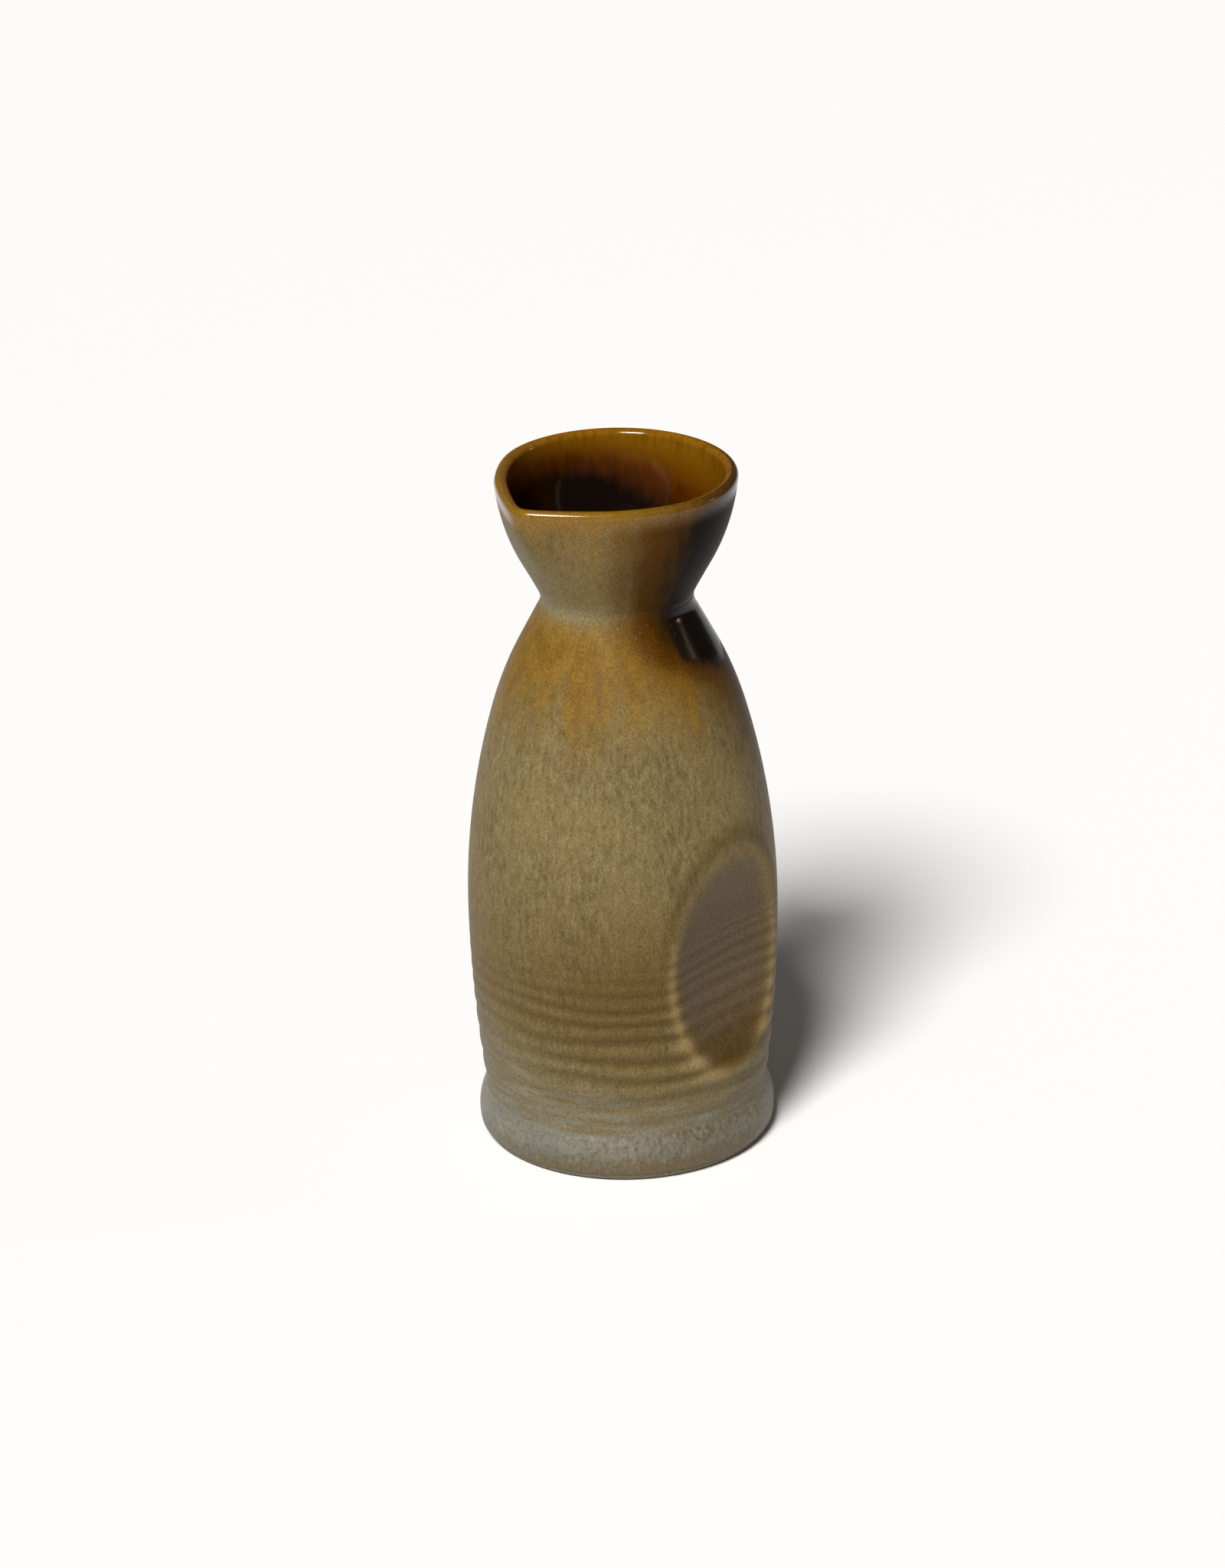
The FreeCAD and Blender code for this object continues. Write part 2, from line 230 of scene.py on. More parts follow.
def lip_drop(angle, z):
    share = (1 + np.cos(angle - LOW_SIDE)) / 2
    return RIM_LEAN * share * smooth_step((z - WAIST_HEIGHT) / (LIP_SPRING - WAIST_HEIGHT))


def ring_number(z):
    """Counts throwing rings: whole at each valley, with pitches that shrink upwards."""
    left = 1 - (z - RING_START) * (1 - RING_SHRINK) / RING_PITCH
    return np.log(np.maximum(left, RING_SHRINK ** (RING_COUNT + 1))) / math.log(RING_SHRINK)


def ring_fade(z):
    """Rings fade out upwards and at the groove over the foot."""
    upwards = 1 - smooth_step(ring_number(z) / RING_COUNT)
    return upwards * smooth_step((z - GROOVE_HEIGHT) / RING_FADE)


def form_radius(angle, z, waist_blend):
    round_form = side_radius(z, waist_blend)
    pressed = -smooth_max(-round_form, -grip_radius(angle, z), GRIP_EDGE)
    return pressed + spout_bulge(angle, z)


def inside_radius(angle, z):
    """The clay's inner face: rounder at the waist and with no throwing rings."""
    lip = smooth_step((z - WAIST_HEIGHT) / (LIP_SPRING - WAIST_HEIGHT))
    return form_radius(angle, z, THROAT_BLEND) - GLAZE - WALL - (LIP_WALL - WALL) * lip


# %% The hand in the throwing rings
# No ring is true: each wanders up and down a little and is deeper in one place than another.
# Whole waves round the bottle keep the seam closed.
RING_WANDER = 0.07                  # of a pitch
RING_UNEVEN = 0.3                   # of the depth
GLAZED_RING_DEPTH = 0.22            # the glaze fills the valleys, so they are shallower outside


def ring_shade(angle, z, width=1.0):
    """1 in a valley and 0 on a crest: a cosine in the ring number, shifted by slow waves round
    the bottle. A width under 1 narrows the valleys."""
    number = ring_number(z)
    shift = RING_WANDER * (np.sin(3 * angle + 2.1 * number) + np.sin(5 * angle - 1.3 * number))
    return ((1 + np.cos(2 * math.pi * (number + shift))) / 2) ** (1 / width)


def ring_relief(angle, z):
    """Depth of the throwing rings in the glaze, uneven round the bottle."""
    number = ring_number(z)
    uneven = 1 + RING_UNEVEN * np.sin(2 * angle + 1.7 * number) * np.cos(3 * angle - number)
    return GLAZED_RING_DEPTH * ring_fade(z) * uneven * ring_shade(angle, z)


def glazed_radius(angle, z):
    """The outside of the glaze."""
    return form_radius(angle, z, WAIST_BLEND) - ring_relief(angle, z)


def clay_radius(angle, z):
    """The clay under the glaze, where the rings are true."""
    true_rings = RING_DEPTH * ring_fade(z) * (1 + np.cos(2 * math.pi * ring_number(z))) / 2
    return form_radius(angle, z, WAIST_BLEND) - true_rings - GLAZE


# %% [markdown]
# ## Closed skins from rows of rings
# A coat of glaze has thickness, so each is a closed skin: its section is walked once round, and
# every point of the walk is a ring round the bottle. Blender could thicken a surface with
# Solidify, but a walked section puts the inner face exactly on the clay. The grid has whole rows
# in numpy, and two poles where the walk starts and ends on the axis.

# %% Grid helpers
AROUND = 336
ANGLES = np.arange(AROUND) * 2 * math.pi / AROUND - math.pi / 2
HOLD = 0.02                         # rows this close to a corner keep its shading crisp, in mm


def ring_rows(radius_at, heights, inset=0.0):
    """Rings at the given heights, from the plan radius drawn in by inset."""
    z = np.asarray(heights, float)[:, None] + 0 * ANGLES
    radius = radius_at(ANGLES[None, :], z) - inset
    return np.stack([radius * np.cos(ANGLES), radius * np.sin(ANGLES), z - lip_drop(ANGLES, z)], -1)


def arc_rows(radius_at, z, centre_inset, arc, turns):
    """Rings round an arc about a point centre_inset inside the outline at height z: 0 degrees is
    outwards, 90 is up and 180 is inwards."""
    turns = np.radians(np.asarray(turns, float))[:, None]
    radius = radius_at(ANGLES, z + 0 * ANGLES) - centre_inset + arc * np.cos(turns)
    height = z - lip_drop(ANGLES, z) + arc * np.sin(turns)
    return np.stack([radius * np.cos(ANGLES), radius * np.sin(ANGLES), height], -1)


def rows_between(first, last, count):
    """Rings that lead straight from one ring to another, both left out."""
    share = (np.arange(count) + 1)[:, None, None] / (count + 1)
    return first + (last - first) * share


def make_skin(name, rows, poles, fields):
    """Closed mesh from rings: four-sided faces between neighbouring rings. With no poles the last
    ring joins the first. With poles, each end closes in a fan on the axis. fields are named
    values at every point, for the material to read."""
    count = len(rows)
    points = rows.reshape(-1, 3)
    ring = np.arange(AROUND)
    after = (ring + 1) % AROUND
    low = np.arange(count if not poles else count - 1)[:, None] * AROUND
    high = (low + AROUND) % (count * AROUND)
    quads = np.stack([low + ring, low + after, high + after, high + ring], -1).reshape(-1, 4)
    faces = quads.tolist()
    if poles:
        ends = np.array([rows[0].mean(0), rows[-1].mean(0)])
        ends[:, :2] = 0.0
        last = (count - 1) * AROUND
        start_pole = np.full(AROUND, len(points))
        faces += np.stack([start_pole, after, ring], -1).tolist()
        faces += np.stack([start_pole + 1, last + ring, last + after], -1).tolist()
        points = np.concatenate([points, ends])
    mesh = bpy.data.meshes.new(name)
    mesh.from_pydata((points * MM).tolist(), [], faces)
    mesh.update()
    mesh.shade_smooth()
    for field, values in fields(points).items():
        mesh.attributes.new(field, "FLOAT", "POINT").data.foreach_set("value", values)
    piece = bpy.data.objects.new(name, mesh)
    bpy.context.scene.collection.objects.link(piece)
    print(f"{name}: {len(points)} points, {len(faces)} faces")
    return piece


# %% [markdown]
# ## Where the glaze is thick, thin or milky, and where shade and sheen are painted
# A glaze's colour is its thickness. Over iron-bearing clay this one is khaki at its usual
# thickness, amber where it ran, black in a pool, and tan where it pulls thin over an edge. The
# ash in the foot glaze makes it milky, and that milk creeps up into the lower wall. Two fields
# also carry painted light: the black spreads from the pool over the side of the shoulder and cup
# that the key light doesn't reach, as painted shade, and the haze on the left of the cup is a
# painted sheen. These fields could be painted by hand. As formulas in angle and height they stay
# smooth, wrap round the bottle and need no image.

# %% Fields of the outer glaze
DARK_SIDE = 32                      # plan angles in degrees
MILKY_SIDE = -120
HAZY_SIDE = -92
RUSTY_SIDE = -50
MIRROR_SIDE = -5
MILK_START = 9                      # heights in mm
MILK_TOP = 26
PUDDLE_HEIGHT = 25
RUST_HEIGHT = 48
AMBER_START = 98
AMBER_RISE = 24
NECK = 128
# On the pool the dark field is dark glaze; over the rest of the shoulder and cup it is painted
# shade.
DARK_HEIGHTS = [70, 98, 114, 121, 128, 134, 142, 158]
DARK_REACH = [-150, -95, -71, 13, 4, 4, 3, 0]           # black this far to each side, in degrees
DARK_BORDERS = [150, 150, 150, 70, 108, 105, 110, 110]  # and fades out over this many more


def bell(value, centre, width):
    return np.exp(-(((value - centre) / width) ** 2))


def around_bell(angle, centre_degrees, width_degrees):
    """A bell round the bottle, measured the short way from its centre."""
    turned = (angle - math.radians(centre_degrees) + math.pi) % (2 * math.pi) - math.pi
    return bell(turned, 0.0, math.radians(width_degrees))


# Painted shade: outside the pool, this field's black darkens the side that the key light misses.
def dark_field(angle, z, runs, lip):
    """1 where the angle from DARK_SIDE is within a reach, eased to 0 over a border."""
    turned = np.abs((np.degrees(angle) - DARK_SIDE + 180) % 360 - 180)
    reach = np.interp(z, DARK_HEIGHTS, DARK_REACH) + 1.5 * runs
    border = np.interp(z, DARK_HEIGHTS, DARK_BORDERS)
    return smooth_step((reach + border - turned) / (border + 4)) * (1 - 0.5 * lip)


def ridge_field(angle, z, gap, crest):
    """A bell across the hollow's edge, stronger on ring crests, weaker upwards, and missing for a
    stretch low on the +X side."""
    ridge = bell(gap, 0.1, 0.95) * (0.5 + 0.5 * crest) * (1 - 0.5 * smooth_step((z - 38) / 30))
    ridge += 0.55 * crest * bell(gap, -1.4, 1.5) * bell(z, 28, 10)
    return ridge * (1 - 0.9 * around_bell(angle, 10, 19) * bell(z, 23, 5))


def mirror_field(angle, dark, pool, lip):
    """A little everywhere, as crystals dull the glaze, and half of that where the dark field is 1.
    The lip adds the most, and the pool adds some by a bell round MIRROR_SIDE."""
    return 0.07 * (1 - 0.5 * dark) + 0.2 * pool * around_bell(angle, MIRROR_SIDE, 26) + 0.26 * lip


def glaze_fields(points):
    """Each field is 0 to 1, of steps and bells in angle and height.
    amber: how far the glaze has run thick. dark: thicker still in the pool, black at 1, and painted
    shade where it spreads over the side of the shoulder and cup that the key light doesn't reach.
    rust: a little thicker. valley: in a throwing ring. puddle: thick at a hollow's bottom. bank:
    thick just outside a hollow's edge. ridge: thin over that edge. lip: thin at the crest. milk:
    cloudy with ash. haze: faintly cloudy, and a painted sheen on the left of the cup. ochre:
    browner foot. hollow: inside a grip hollow. waist: the bubbly ring below the waist. gloss:
    clear and smooth. shine: how much light it mirrors."""
    angle = np.arctan2(points[:, 1], points[:, 0])
    z = points[:, 2]
    runs = np.sin(7 * angle) + 0.8 * np.sin(13 * angle + 1) + 0.6 * np.sin(23 * angle + 2)
    amber = smooth_step((z - AMBER_START - 2.5 * runs) / AMBER_RISE)
    below_lip = HEIGHT - z - lip_drop(angle, z)
    lip = 1 - smooth_step((below_lip - 1.2) / 5.0)
    dark = dark_field(angle, z, runs, lip)
    pool = smooth_step((dark - 0.5) / 0.4) * (1 - smooth_step((z - NECK - 1) / 3))

    milk_top = MILK_TOP + 20 * around_bell(angle, MILKY_SIDE, 48) + 2 * around_bell(angle, 60, 40)
    milk = 1 - smooth_step((z - MILK_START) / (milk_top - MILK_START))
    haze = 0.9 * bell(z, WAIST_HEIGHT + 1.2, 2.8) * around_bell(angle, HAZY_SIDE, 52)
    # Painted sheen: the bell round -125 degrees lightens the left of the cup in place of a sheen.
    haze += bell(z, 141, 9) * (0.3 + 0.4 * around_bell(angle, -125, 40))
    rust = bell(z, RUST_HEIGHT, 19) * (0.35 + 0.65 * around_bell(angle, RUSTY_SIDE, 48))

    gap = side_radius(z) - grip_radius(angle, z)
    hollow = smooth_step((gap - 0.3) / 2.6)
    fade = smooth_step((z - 13) / 4) * (1 - smooth_step((z - 40 - 9 * hollow) / 20))
    valley = ring_shade(angle, z, width=0.9) * fade * (1 - 0.45 * around_bell(angle, MILKY_SIDE, 45))
    crest = 1 - ring_shade(angle, z)
    return {
        "amber": amber * (1 - 0.5 * smooth_step((z - NECK) / 6)),
        "dark": dark,
        "milk": np.clip(milk, 0, 1),
        "haze": haze * (1 - dark),
        "rust": rust,
        "valley": valley * (1 - 0.35 * hollow),
        "hollow": hollow,
        "puddle": smooth_step((gap + 0.1) / 1.2) * bell(z, PUDDLE_HEIGHT, 10),
        "ridge": np.clip(ridge_field(angle, z, gap, crest), 0, 1),
        "ochre": around_bell(angle, 0, 62),
        "bank": bell(gap, -1.5, 1.5) * smooth_step((z - 44) / 24),
        "lip": lip,
        "waist": bell(z, WAIST_HEIGHT - 3.0, 2.0) * (1 - dark),
        "gloss": np.maximum(lip, pool),
        "shine": mirror_field(angle, dark, pool, lip),
    }


# %% Outer glaze: the amber coat from the groove to the crest of the lip
RING_ROWS = np.arange(GROOVE_HEIGHT + 0.5, 57, 0.5)
BODY_ROWS = np.linspace(57.5, WAIST_HEIGHT - 6, 60)
WAIST_ROWS = np.linspace(WAIST_HEIGHT - 5.2, WAIST_HEIGHT + 6, 26)
CUP_ROWS = np.linspace(WAIST_HEIGHT + 6.7, LIP_SPRING - 0.4, 32)
GROOVE_ROWS = [GROOVE_HEIGHT, GROOVE_HEIGHT + HOLD]
heights = np.concatenate([GROOVE_ROWS, RING_ROWS, BODY_ROWS, WAIST_ROWS, CUP_ROWS])
inner_heights = np.linspace(LIP_SPRING, GROOVE_HEIGHT, 36)
outer_rows = np.concatenate([
    ring_rows(glazed_radius, heights),
    arc_rows(glazed_radius, LIP_SPRING, LIP_HALF, LIP_HALF, np.linspace(0, 90, 9)),
    arc_rows(glazed_radius, LIP_SPRING, LIP_HALF, LIP_WALL / 2, np.linspace(90, 15, 6)),
    ring_rows(clay_radius, inner_heights),
])
outer_glaze = make_skin("amber_glaze_coat", outer_rows, False, glaze_fields)

# %% Liner: the coat that was poured inside and out again
# The far left of the inside as the camera sees it, where the liner is darkened as painted shade.
SHADED_LINER_SIDE = 186                   # plan angle in degrees
LINER_CORNER = FLOOR_CORNER - GLAZE
corner_height = CAVITY_FLOOR + FLOOR_CORNER
throat = np.linspace(corner_height, LIP_SPRING, 70)


def liner_fields(points):
    """depth: below the crest of the lip, as a share of the cup's depth, times a weight that is
    three times as large on the far left of the inside as the camera sees it, as painted shade."""
    angle = np.arctan2(points[:, 1], points[:, 0])
    depth = (HEIGHT - points[:, 2]) / (HEIGHT - WAIST_HEIGHT)
    return {"depth": depth * (0.45 + 1.1 * around_bell(angle, SHADED_LINER_SIDE, 78))}


floor_turns = np.linspace(-90, 0, 9)
back_of_liner = np.concatenate([
    arc_rows(inside_radius, corner_height, FLOOR_CORNER, FLOOR_CORNER, floor_turns),
    ring_rows(inside_radius, throat[1:-1]),
    arc_rows(glazed_radius, LIP_SPRING, LIP_HALF, LIP_WALL / 2, np.linspace(180, 90, 7)),
])
face_of_liner = np.concatenate([
    arc_rows(glazed_radius, LIP_SPRING, LIP_HALF, LIP_HALF, np.linspace(90, 180, 11)),
    ring_rows(inside_radius, throat[-2:0:-1], GLAZE),
    arc_rows(inside_radius, corner_height, FLOOR_CORNER, LINER_CORNER, floor_turns[::-1]),
])
liner_rows = np.concatenate([back_of_liner, face_of_liner])
liner = make_skin("liner_glaze_coat", liner_rows, True, liner_fields)

# %% Foot glaze: the pale ash coat over the foot roll, with a rounded lower edge
foot_heights = np.linspace(FOOT_EDGE + GLAZE / 2, GROOVE_HEIGHT - 0.4, 24)
foot_back = np.linspace(GROOVE_HEIGHT, FOOT_EDGE + GLAZE / 2, 12)
foot_rows = np.concatenate([
    arc_rows(glazed_radius, FOOT_EDGE + GLAZE / 2, GLAZE / 2, GLAZE / 2, np.linspace(-180, 0, 9)),
    ring_rows(glazed_radius, foot_heights[1:]),
    ring_rows(glazed_radius, [GROOVE_HEIGHT - HOLD, GROOVE_HEIGHT]),
    ring_rows(clay_radius, foot_back[:-1]),
])
foot_glaze = make_skin("ash_glaze_foot", foot_rows, False, glaze_fields)

# %% Base glaze: the disc of ash glaze in the hollow under the base
BASE_EDGE = GLAZE / 2
MIDDLE = [0.02, 0.02, 1.0]          # draws a ring in almost to the axis


def disc_radius(angle, z):
    return BASE_RADIUS + 0 * angle


edge_turns = np.linspace(-90, 90, 9)
base_arc = arc_rows(disc_radius, BASE_CEILING - BASE_EDGE, BASE_EDGE, BASE_EDGE, edge_turns)
base_middle = base_arc * MIDDLE
base_rows = np.concatenate([
    base_middle[:1],
    rows_between(base_middle[0], base_arc[0], 8),
    base_arc,
    rows_between(base_arc[-1], base_middle[-1], 8),
    base_middle[-1:],
])
base_glaze = make_skin("ash_glaze_base", base_rows, True, glaze_fields)

# %% [markdown]
# ## Materials
# Each material is built from nodes by one small function that adds a node, sets it and links it.
# A glaze is then a list of layers, each an amount and a colour, in the order that they lie.
# Colours are written as sRGB hex, as a glaze chart would give them, and one function turns them
# to linear. Patterns read Object coordinates, so their sizes are real sizes in millimetres.

# %% Node helpers
SILICATE_IOR = 1.5                  # of glaze and of fired clay
COLOURS = {"data_type": "RGBA"}     # a Mix node that mixes colours
EASED = {"interpolation_type": "SMOOTHSTEP"}            # a Map Range node with soft ends


def linear(hex_colour):
    """sRGB hex to linear: c / 12.92 for dark values, ((c + 0.055) / 1.055) ^ 2.4 for the rest."""
    channels = [int(hex_colour[i:i + 2], 16) / 255 for i in (1, 3, 5)]
    return [c / 12.92 if c <= 0.04045 else ((c + 0.055) / 1.055) ** 2.4 for c in channels] + [1.0]


def node(tree, kind, *values, output=None, **settings):
    """Adds a node and returns one output, the first unless it is named. kind is the node's type
    without ShaderNode in front, and settings are its own properties. values fill its inputs in
    order: an output is linked, a number or a hex colour is set, and None is passed over."""
    new = tree.nodes.new("ShaderNode" + kind)
    for key, value in settings.items():
        setattr(new, key, value)
    for socket, value in zip([each for each in new.inputs if each.enabled], values):
        if isinstance(value, bpy.types.NodeSocket):
            tree.links.new(value, socket)
        elif value is not None:
            socket.default_value = linear(value) if isinstance(value, str) else value
    return next(each for each in new.outputs if each.enabled and output in (None, each.name))


def new_material(name, roughness):
    material = bpy.data.materials.new(name)
    material.use_nodes = True
    tree = material.node_tree
    shader = tree.nodes["Principled BSDF"]
    shader.inputs["Roughness"].default_value = roughness
    shader.inputs["IOR"].default_value = SILICATE_IOR
    return material, tree, shader


def pattern(tree, size_mm, stretch=1.0, detail=3.0, kind="TexNoise", offset=0.0):
    """A noise or cell pattern whose features are size_mm across, and stretch times as tall."""
    place = node(tree, "TexCoord", output="Object")
    placed = node(tree, "Mapping", place, (offset,) * 3, None, (1.0, 1.0, 1.0 / stretch))
    return node(tree, kind, placed, 1 / (size_mm * MM), detail)


def layered(tree, colour, layers):
    """Lays colours one over another, each by its own amount."""
    for amount, paint in layers:
        colour = node(tree, "Mix", amount, colour, paint, **COLOURS)
    return colour


def dress(tree, shader, colour, relief, relief_mm):
    """Gives the shader its colour, and a bump from a relief of relief_mm."""
    tree.links.new(colour, shader.inputs["Base Color"])
    tree.links.new(node(tree, "Bump", 1.0, relief_mm * MM, None, relief), shader.inputs["Normal"])


# %% [markdown]
# ## The amber glaze
# This is an iron glaze over stoneware, fired in reduction. Tiny crystals in it run down the wall
# while it is molten, which leaves fine vertical mottles, and it is semi-matt where crystals cloud
# it and glossy where it is thick and clear. The layers start with mottled khaki. Rust clouds and
# amber runs come next, then the dark valleys and pale edges, the milk, the haze with its painted
# sheen, the gold lip and the black. The black is dark glaze in the pool, and painted shade where
# it spreads over the side of the shoulder and cup that the key light doesn't reach.

# %% Amber glaze
KHAKI = "#75643D"
KHAKI_DEEP = "#625434"
KHAKI_LIGHT = "#80704D"
RUST = "#513A16"
AMBER = "#7B5E24"
AMBER_DEEP = "#6B4B14"
AMBER_DARK = "#482B03"
BLACK = "#0E0602"
VALLEY = "#40290A"
HOLLOW = "#625340"
PUDDLE = "#4C3406"
THIN = "#9C8355"
MILK = "#767262"
MILK_OCHRE = "#6B5D40"
# Faint haze, and the painted sheen on the left of the cup.
HAZE_AND_SHEEN = "#7E7455"
LIP_GOLD = "#7C5813"
SPECK = "#988A68"
SEMI_MATT = 0.42                    # roughness
GLOSSY = 0.09


def amber_glaze_material():
    material, tree, shader = new_material("amber iron glaze, semi-matt", SEMI_MATT)
    mottle = pattern(tree, 1.1, stretch=3.0, detail=5.0)
    runs = pattern(tree, 2.4, stretch=7.0, offset=0.2)
    fine = pattern(tree, 0.4, stretch=1.4, offset=0.3)
    cloud = pattern(tree, 16.0, stretch=1.6, offset=0.7)
    bands = pattern(tree, 9.0, stretch=0.16, offset=0.5)
    speck = pattern(tree, 1.3, kind="TexVoronoi", detail=0.0)

    def strength(name, share=1.0):
        """A field of the mesh, times a share."""
        value = node(tree, "Attribute", output="Fac", attribute_name=name)
        return node(tree, "Math", value, share, operation="MULTIPLY")

    def ragged(name, noise, share=1.0, reach=0.9):
        """The field with its border broken up by a noise, which adds nothing where it is 0."""
        amount = strength(name, share)
        centred = node(tree, "Math", noise, 0.5, operation="SUBTRACT")
        wander = node(tree, "Math", centred, reach, operation="MULTIPLY")
        near = node(tree, "MapRange", amount, 0.0, 0.3, **EASED)
        shifted = node(tree, "Math", wander, near, operation="MULTIPLY")
        return node(tree, "Math", amount, shifted, operation="ADD", use_clamp=True)

    streaks = node(tree, "MapRange", runs, 0.3, 0.7, **EASED)
    amber = node(tree, "Mix", streaks, AMBER_DEEP, AMBER, **COLOURS)
    clouded = node(tree, "MapRange", bands, 0.2, 0.75, **EASED)
    milk = node(tree, "Mix", clouded, MILK_OCHRE, MILK, **COLOURS)
    dark = ragged("dark", runs, 1.0, 0.2)
    colour = layered(tree, KHAKI_DEEP, (
        (node(tree, "MapRange", cloud, 0.3, 0.7, **EASED), KHAKI),
        (node(tree, "MapRange", mottle, 0.3, 0.85, **EASED), KHAKI_LIGHT),
        (node(tree, "MapRange", mottle, 0.46, 0.2, 0.0, 0.35, **EASED), RUST),
        (ragged("rust", cloud, 0.62, 0.6), RUST),
        (ragged("amber", runs), amber),
        (strength("hollow", 0.85), HOLLOW),
        (ragged("valley", mottle, 0.55, 0.5), VALLEY),
        (ragged("puddle", mottle, 0.9), PUDDLE),
        (strength("bank", 0.45), VALLEY),
        (strength("ridge", 0.8), THIN),
        (ragged("milk", bands, 1.0, 0.6), milk),
        # Faint haze, and a painted sheen on the left of the cup.
        (ragged("haze", mottle, 1.0, 0.6), HAZE_AND_SHEEN),
        (ragged("lip", runs, 0.95, 0.9), LIP_GOLD),
        # The pool's dark glaze, and painted shade on the shoulder and cup's side away from the key
        # light.
        (node(tree, "MapRange", dark, 0.0, 0.47, **EASED), AMBER_DARK),
        (node(tree, "MapRange", dark, 0.42, 0.72, **EASED), BLACK),
    ))
    colour = node(tree, "Mix", 0.7, colour, fine, blend_type="OVERLAY", **COLOURS)
    dots = node(tree, "MapRange", speck, 0.1, 0.05, 0.0, 0.25, **EASED)
    bubble = node(tree, "MapRange", speck, 0.25, 0.1, 0.0, 0.35, **EASED)
    bubbles = node(tree, "Math", bubble, strength("waist"), operation="MULTIPLY")
    pale = node(tree, "Math", dots, bubbles, operation="MAXIMUM")
    colour = node(tree, "Mix", pale, colour, SPECK, **COLOURS)

    shine = node(tree, "Attribute", output="Fac", attribute_name="shine")
    tree.links.new(shine, shader.inputs["Specular IOR Level"])
    gloss = node(tree, "Attribute", output="Fac", attribute_name="gloss")
    even = node(tree, "MapRange", gloss, 0.1, 0.9, SEMI_MATT, GLOSSY, **EASED)
    uneven = node(tree, "Math", fine, 0.1, operation="MULTIPLY")
    rough = node(tree, "Math", even, uneven, operation="ADD")
    tree.links.new(rough, shader.inputs["Roughness"])
    grain = node(tree, "Math", fine, 0.3, operation="MULTIPLY")
    raised = node(tree, "Math", bubbles, 1.5, operation="MULTIPLY")
    dress(tree, shader, colour, node(tree, "Math", grain, raised, operation="ADD"), 0.04)
    return material


amber_glaze = amber_glaze_material()
outer_glaze.data.materials.append(amber_glaze)
print("made", amber_glaze.name)

# %% [markdown]
# ## The liner
# Inside, the same iron glaze stays clear, so it is glossy: golden where it thins at the lip, brown
# just below, and nearly black further down. It darkens with depth, and three times as fast on
# the far left of the inside as the camera sees it, which is painted shade.

# %% Liner glaze
LINER_AMBER = "#704402"
LINER_GOLD = "#82570A"
LINER_BROWN = "#4A2202"
LINER_BLACK = "#0D0401"
LINER_SHINE = 0.3


def liner_glaze_material():
    material, tree, shader = new_material("clear amber liner glaze, glossy", GLOSSY)
    shader.inputs["Specular IOR Level"].default_value = LINER_SHINE
    depth = node(tree, "Attribute", output="Fac", attribute_name="depth")
    streak = pattern(tree, 1.6, stretch=5.0, detail=4.0)
    centred = node(tree, "Math", streak, 0.5, operation="SUBTRACT")
    wander = node(tree, "Math", centred, 0.16, operation="MULTIPLY")
    depth_and_shade = node(tree, "Math", depth, wander, operation="ADD")
    colour = layered(tree, LINER_AMBER, (
        (node(tree, "MapRange", streak, 0.3, 0.7, **EASED), LINER_GOLD),
        # Brown and near-black come in with depth, and three times as fast on the far left: painted
        # shade.
        (node(tree, "MapRange", depth_and_shade, 0.02, 0.3, **EASED), LINER_BROWN),
        (node(tree, "MapRange", depth_and_shade, 0.2, 0.5, **EASED), LINER_BLACK),
    ))
    dress(tree, shader, colour, streak, 0.02)
    return material


liner_glaze = liner_glaze_material()
liner.data.materials.append(liner_glaze)
print("made", liner_glaze.name)

# %% [markdown]
# ## The ash glaze on the foot
# The foot was dipped in a pale wood-ash glaze. It is satin, blue-grey where it is thick, and the
# ochre of the clay comes through in grains where it thins towards the lower edge.

# %% Ash glaze
ASH = "#5E5C4F"
ASH_WHITE = "#757267"
OCHRE = "#574727"


def ash_glaze_material():
    material, tree, shader = new_material("pale ash glaze, satin", 0.45)
    grain = pattern(tree, 1.1, stretch=1.4, detail=5.0)
    soft = pattern(tree, 10.0, stretch=0.3, offset=0.4)
    fine = pattern(tree, 0.5, offset=0.2)
    place = node(tree, "TexCoord", output="Object")
    height = node(tree, "SeparateXYZ", place, output="Z")
    high = node(tree, "MapRange", height, 5.0 * MM, 8.5 * MM, **EASED)
    white = node(tree, "Math", high, 0.5, operation="MULTIPLY")
    low = node(tree, "MapRange", height, 7.5 * MM, 1.5 * MM, -0.1, 0.22, **EASED)
    centred = node(tree, "Math", soft, 0.5, operation="SUBTRACT")
    patches = node(tree, "Math", centred, 0.5, operation="MULTIPLY")
    browner = node(tree, "Attribute", output="Fac", attribute_name="ochre")
    side = node(tree, "Math", browner, 0.2, operation="MULTIPLY")
    patched = node(tree, "Math", low, patches, operation="ADD")
    shift = node(tree, "Math", patched, side, operation="ADD")
    ochre = node(tree, "Math", grain, shift, operation="ADD")
    colour = layered(tree, ASH, (
        (node(tree, "MapRange", soft, 0.35, 0.65, **EASED), MILK),
        (white, ASH_WHITE),
        (node(tree, "MapRange", ochre, 0.3, 0.85, 0.0, 0.95, **EASED), OCHRE),
    ))
    colour = node(tree, "Mix", 0.6, colour, fine, blend_type="OVERLAY", **COLOURS)
    dress(tree, shader, colour, grain, 0.04)
    return material


ash_glaze = ash_glaze_material()
for piece in (foot_glaze, base_glaze):
    piece.data.materials.append(ash_glaze)
print("made", ash_glaze.name)

# %% [markdown]
# ## The bare clay
# Only the foot's lower edge and the ring that the bottle stands on are bare. Fired stoneware is
# matt and sandy, with dark iron grains.

# %% Stoneware
CLAY_SHADE = "#5E5340"
CLAY_SAND = "#746A53"
IRON_GRAIN = "#33241A"


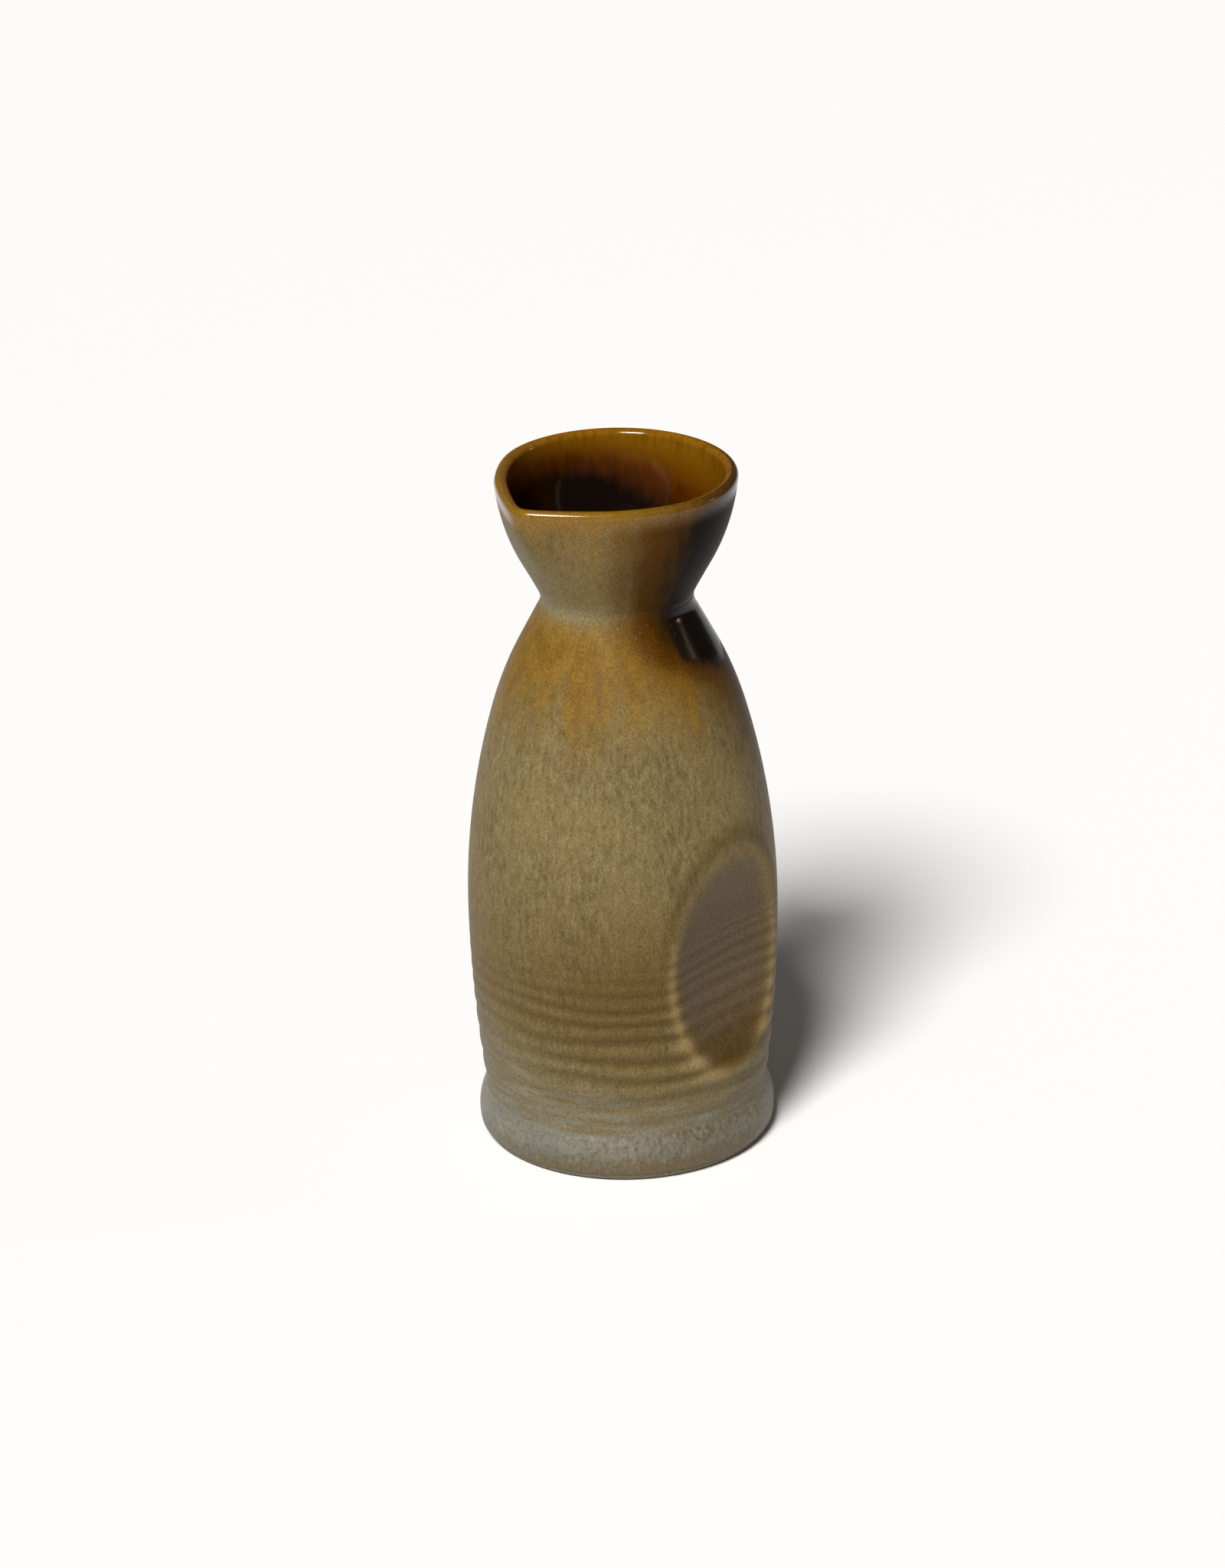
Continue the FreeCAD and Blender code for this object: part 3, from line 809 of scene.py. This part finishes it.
def stoneware_material():
    material, tree, shader = new_material("fired stoneware, bare", 0.85)
    sand = pattern(tree, 0.6, detail=4.0)
    iron = pattern(tree, 1.8, kind="TexVoronoi", detail=0.0)
    colour = layered(tree, CLAY_SHADE, (
        (node(tree, "MapRange", sand, 0.35, 0.65, **EASED), CLAY_SAND),
        (node(tree, "MapRange", iron, 0.12, 0.06, 0.0, 0.8, **EASED), IRON_GRAIN),
    ))
    dress(tree, shader, colour, sand, 0.08)
    return material


stoneware = stoneware_material()
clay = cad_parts["clay_body"]
clay.data.materials.clear()
clay.data.materials.append(stoneware)
print("made", stoneware.name)

# %% [markdown]
# ## What each piece stands for
# A skin replaces its plain node and rides on the one body of this bottle. The clay body's own
# mesh stays, because its shape is already right.

# %% Ride and replace
for piece, cad_node, slot in (
    (outer_glaze, "outer_glaze", "amber_glaze"),
    (liner, "liner_glaze", "dark_amber_glaze"),
    (foot_glaze, "foot_glaze", "ash_glaze"),
    (base_glaze, "base_glaze", "ash_glaze"),
):
    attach(piece, "root")
    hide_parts(cad_node)

# %% [markdown]
# ## Floor, light and camera
# A pale floor, one soft key light on the left, a narrow strip on the right that draws a line of
# light on the black glaze, and a dim even world, so that this glaze has something dark to mirror.
# The camera is a long lens a metre away, tipped down and turned a degree.

# %% Floor
PAPER = "#F1F0EE"
FLOOR_SIZE = 6.0
paper, _, paper_shader = new_material("matt white paper", 0.9)
paper_shader.inputs["Base Color"].default_value = linear(PAPER)
floor_mesh = bpy.data.meshes.new("floor")
half = FLOOR_SIZE / 2
corners = [(-half, -half, 0), (half, -half, 0), (half, half, 0), (-half, half, 0)]
floor_mesh.from_pydata(corners, [], [(0, 1, 2, 3)])
floor = bpy.data.objects.new("floor", floor_mesh)
bpy.context.scene.collection.objects.link(floor)
floor.data.materials.append(paper)

# %% Camera
CAMERA_AZIMUTH = math.radians(42)
CAMERA_ELEVATION = math.radians(23.07)
CAMERA_DISTANCE = 1.0909
CAMERA_LENS = 109.8
CAMERA_ROLL = math.radians(1.19)
CAMERA_SHIFT = (-0.0053, 0.0080)
LOOK_AT = np.array([0.0, 0.0, 0.0813])


def direction(azimuth, elevation):
    """Unit vector towards a place seen at this azimuth, from -Y towards +X, and elevation."""
    level = math.cos(elevation)
    return np.array([level * math.sin(azimuth), -level * math.cos(azimuth), math.sin(elevation)])


def aim(thing, azimuth, elevation, distance, roll=0.0):
    """Puts a camera or light on a sphere round LOOK_AT, facing its centre."""
    away = direction(azimuth, elevation)
    thing.location = LOOK_AT + distance * away
    thing.rotation_euler = (math.pi / 2 - elevation, 0.0, azimuth)
    thing.rotation_euler.rotate_axis("Z", roll)


lens = bpy.data.cameras.new("camera")
lens.lens = CAMERA_LENS
lens.shift_x, lens.shift_y = CAMERA_SHIFT
camera = bpy.data.objects.new("camera", lens)
bpy.context.scene.collection.objects.link(camera)
aim(camera, CAMERA_AZIMUTH, CAMERA_ELEVATION, CAMERA_DISTANCE, -CAMERA_ROLL)
bpy.context.scene.camera = camera
print("camera at", [round(value, 3) for value in camera.location])

# %% Lights
KEY_TURN = -24                      # degrees round the bottle from the camera
KEY_ELEVATION = 50
KEY_DISTANCE = 2.0
KEY_STRENGTH = 4.3
KEY_WIDTH = math.radians(20)        # how wide it looks, which softens its shadow
STRIP_TURN = 97
STRIP_ELEVATION = 14
STRIP_DISTANCE = 1.2
STRIP_POWER = 0.5
STRIP_COLOUR = "#FFDCC8"
STRIP_SIZE = (0.08, 0.13)
SKY_COLOUR = "#F4F4F2"
SKY_STRENGTH = 0.09


def add_light(name, kind, turn, elevation, distance, energy):
    light = bpy.data.lights.new(name, kind)
    light.energy = energy
    lamp = bpy.data.objects.new(name, light)
    bpy.context.scene.collection.objects.link(lamp)
    aim(lamp, CAMERA_AZIMUTH + math.radians(turn), math.radians(elevation), distance)
    return light


key = add_light("key", "SUN", KEY_TURN, KEY_ELEVATION, KEY_DISTANCE, KEY_STRENGTH)
key.angle = KEY_WIDTH
strip = add_light("strip", "AREA", STRIP_TURN, STRIP_ELEVATION, STRIP_DISTANCE, STRIP_POWER)
strip.color = linear(STRIP_COLOUR)[:3]
strip.shape = "RECTANGLE"
strip.size, strip.size_y = STRIP_SIZE
world = bpy.data.worlds.new("studio")
world.use_nodes = True
sky = world.node_tree.nodes["Background"]
sky.inputs["Color"].default_value = linear(SKY_COLOUR)
sky.inputs["Strength"].default_value = SKY_STRENGTH
bpy.context.scene.world = world
bpy.context.scene.view_settings.view_transform = "Standard"
